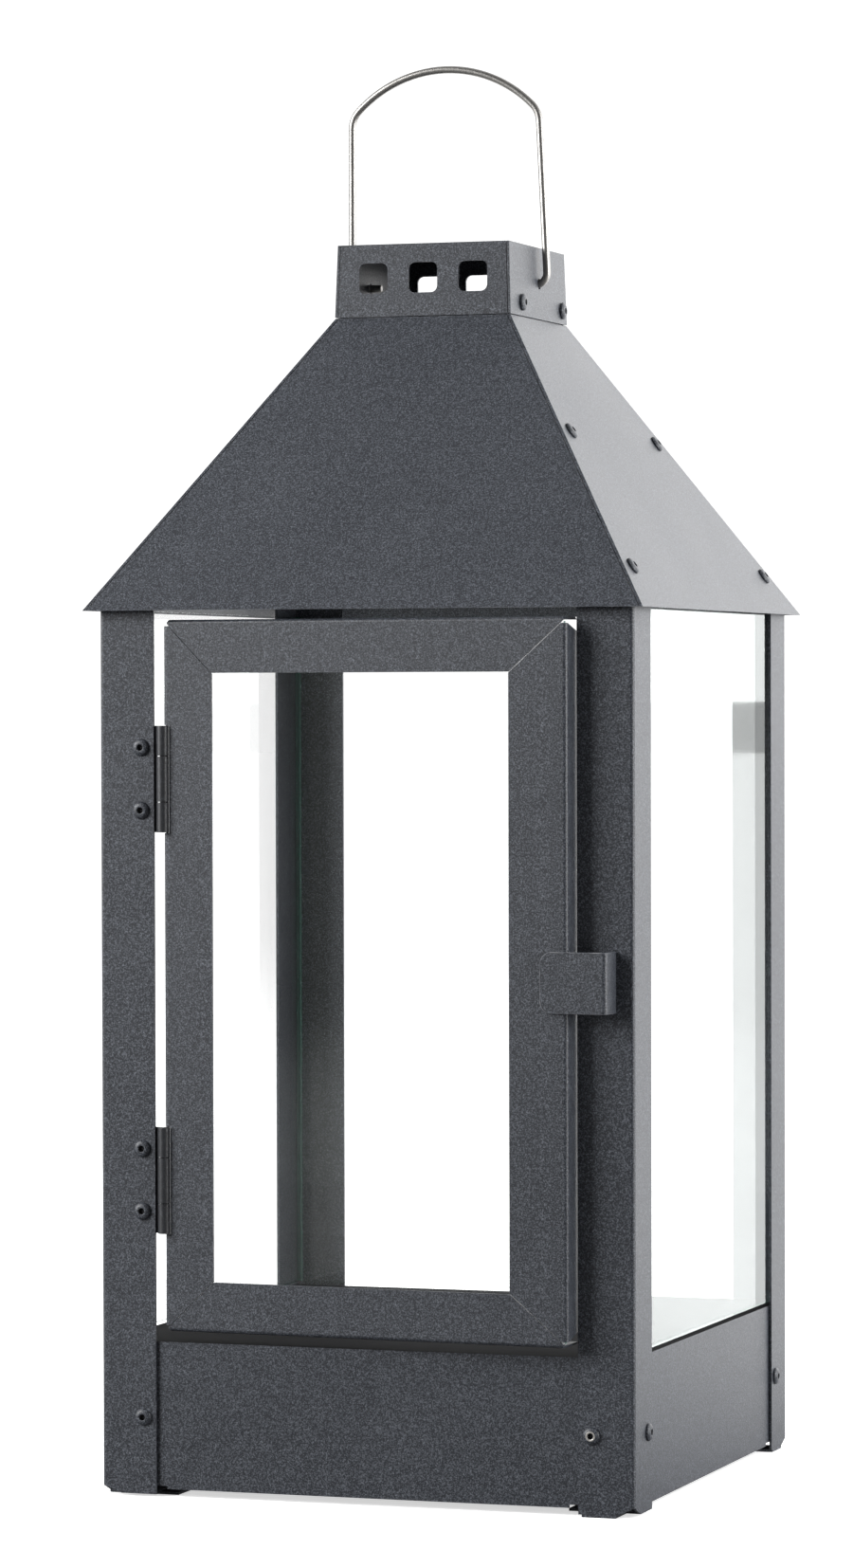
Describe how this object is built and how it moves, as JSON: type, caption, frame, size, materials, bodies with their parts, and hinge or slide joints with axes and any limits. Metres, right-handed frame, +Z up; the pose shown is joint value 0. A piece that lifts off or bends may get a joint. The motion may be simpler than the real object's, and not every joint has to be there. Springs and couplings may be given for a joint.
{
  "type": "candle lantern",
  "caption": "Square sheet-steel candle lantern with glazed sides, a hinged glazed front door, a pyramid roof, a vented cap and a wire bail.",
  "frame": {"origin": "on the lantern's vertical centre line, at the underside of its feet", "axes": "+Z up; -Y out through the door; +X to the viewer's right when facing the door"},
  "size_m": [0.22, 0.2262, 0.5457],
  "materials": {
    "powder_coat": "fine-textured anthracite powder coat, satin",
    "glass": "clear float glass with green edges",
    "hinge_steel": "thin anthracite coat over steel, rubbed at the knuckles",
    "hinge_pin": "bright steel",
    "bail_wire": "bright drawn stainless wire",
    "rivet": "coated dome head with a hollow centre"
  },
  "bodies": {
    "body": {"base_tray": "powder_coat", "cap_shell": "powder_coat", "cap_side_left": "powder_coat", "cap_side_right": "powder_coat", "hinge_lower_pin": "hinge_pin", "hinge_lower_post_leaf": "hinge_steel", "hinge_upper_pin": "hinge_pin", "hinge_upper_post_leaf": "hinge_steel", "pane_back": "glass", "pane_left": "glass", "pane_right": "glass", "post_front_left": "powder_coat", "post_front_right": "powder_coat", "post_rear_left": "powder_coat", "post_rear_right": "powder_coat", "rivet_cap_1": "rivet", "rivet_cap_2": "rivet", "rivet_cap_3": "rivet", "rivet_cap_4": "rivet", "rivet_hinge_1": "rivet", "rivet_hinge_2": "rivet", "rivet_hinge_3": "rivet", "rivet_hinge_4": "rivet", "rivet_roof_1": "rivet", "rivet_roof_2": "rivet", "rivet_roof_3": "rivet", "rivet_roof_4": "rivet", "rivet_roof_5": "rivet", "rivet_roof_6": "rivet", "rivet_roof_7": "rivet", "rivet_roof_8": "rivet", "rivet_skirt_1": "rivet", "rivet_skirt_2": "rivet", "rivet_skirt_3": "rivet", "rivet_skirt_4": "rivet", "rivet_skirt_5": "rivet", "rivet_skirt_6": "rivet", "rivet_skirt_7": "rivet", "rivet_skirt_8": "rivet", "roof_back": "powder_coat", "roof_front": "powder_coat", "roof_left": "powder_coat", "roof_right": "powder_coat"},
    "door": {"door_rail_bottom": "powder_coat", "door_rail_top": "powder_coat", "door_stile_left": "powder_coat", "door_stile_right": "powder_coat", "hinge_lower_door_leaf": "hinge_steel", "hinge_upper_door_leaf": "hinge_steel", "latch_plate": "powder_coat", "pane_door": "glass"},
    "bail": {"bail_handle": "bail_wire"}
  },
  "joints": [
    {"name": "door_hinge", "type": "hinge", "parent": "body", "child": "door", "pos_m": [-0.0795, -0.10535, 0.1964], "axis": [0, 0, -1], "range_deg": [0, 160]},
    {"name": "bail_swing", "type": "hinge", "parent": "body", "child": "bail", "pos_m": [0, 0.0015, 0.4602], "axis": [1, 0, 0], "range_deg": [-85, 85]}
  ]
}
